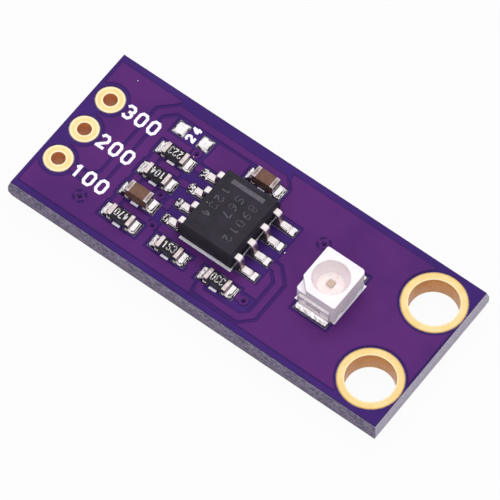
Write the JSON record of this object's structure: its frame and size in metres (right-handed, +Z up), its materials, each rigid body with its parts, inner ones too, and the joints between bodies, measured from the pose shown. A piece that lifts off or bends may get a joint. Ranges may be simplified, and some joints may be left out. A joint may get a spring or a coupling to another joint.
{
  "type": "ultraviolet light sensor module",
  "caption": "Small purple circuit board that measures ultraviolet light, with a windowed sensor, an amplifier chip, plated header holes and mounting holes at one end.",
  "frame": {"origin": "middle of the board, on its underside", "axes": "+X along the board from the pin holes to the mounting holes, +Y across it, +Z up from the underside to the side with the parts"},
  "size_m": [0.0272, 0.0114, 0.0034],
  "materials": {
    "laminate": "glass-fibre laminate, sawn and snapped edge",
    "copper": "etched copper foil",
    "solder_mask": "satin purple lacquer",
    "white_print": "matt white ink",
    "gold_plating": "thin gold over nickel",
    "resistor_ceramic": "fired ceramic",
    "resistor_glaze": "black glaze",
    "tinned_ends": "matt tin",
    "solder": "bright uneven solder",
    "capacitor_ceramic": "brown fired ceramic",
    "black_epoxy": "moulded, finely matt",
    "tinned_leads": "bright tin",
    "lead_frame": "stamped copper alloy",
    "silicon": "polished",
    "bond_wire": "drawn gold wire",
    "white_plastic": "faintly translucent white moulding",
    "clear_fill": "clear cast resin",
    "light_sensing_chip": "pale beige chip"
  },
  "bodies": {
    "root": {"board_core": "laminate", "top_copper": "copper", "bottom_copper": "copper", "top_mask": "solder_mask", "bottom_mask": "solder_mask", "white_print": "white_print", "pin_eyelet_1": "gold_plating", "pin_eyelet_2": "gold_plating", "pin_eyelet_3": "gold_plating", "mount_eyelet_1": "gold_plating", "mount_eyelet_2": "gold_plating", "via_barrels": "copper", "resistor_1_ceramic": "resistor_ceramic", "resistor_1_glaze": "resistor_glaze", "resistor_1_ends": "tinned_ends", "resistor_1_solder": "solder", "resistor_2_ceramic": "resistor_ceramic", "resistor_2_glaze": "resistor_glaze", "resistor_2_ends": "tinned_ends", "resistor_2_solder": "solder", "resistor_3_ceramic": "resistor_ceramic", "resistor_3_glaze": "resistor_glaze", "resistor_3_ends": "tinned_ends", "resistor_3_solder": "solder", "resistor_4_ceramic": "resistor_ceramic", "resistor_4_glaze": "resistor_glaze", "resistor_4_ends": "tinned_ends", "resistor_4_solder": "solder", "resistor_5_ceramic": "resistor_ceramic", "resistor_5_glaze": "resistor_glaze", "resistor_5_ends": "tinned_ends", "resistor_5_solder": "solder", "capacitor_1_ceramic": "capacitor_ceramic", "capacitor_1_ends": "tinned_ends", "capacitor_1_solder": "solder", "capacitor_2_ceramic": "capacitor_ceramic", "capacitor_2_ends": "tinned_ends", "capacitor_2_solder": "solder", "spare_land_solder": "solder", "amp_body": "black_epoxy", "amp_leads": "tinned_leads", "amp_paddle": "lead_frame", "amp_die": "silicon", "amp_bond_wires": "bond_wire", "amp_solder": "solder", "sensor_housing": "white_plastic", "sensor_window_fill": "clear_fill", "sensor_die": "light_sensing_chip", "sensor_bond_wire": "bond_wire", "sensor_front_terminal": "tinned_leads", "sensor_back_terminal": "tinned_leads", "sensor_front_solder": "solder", "sensor_back_solder": "solder"}
  },
  "joints": []
}
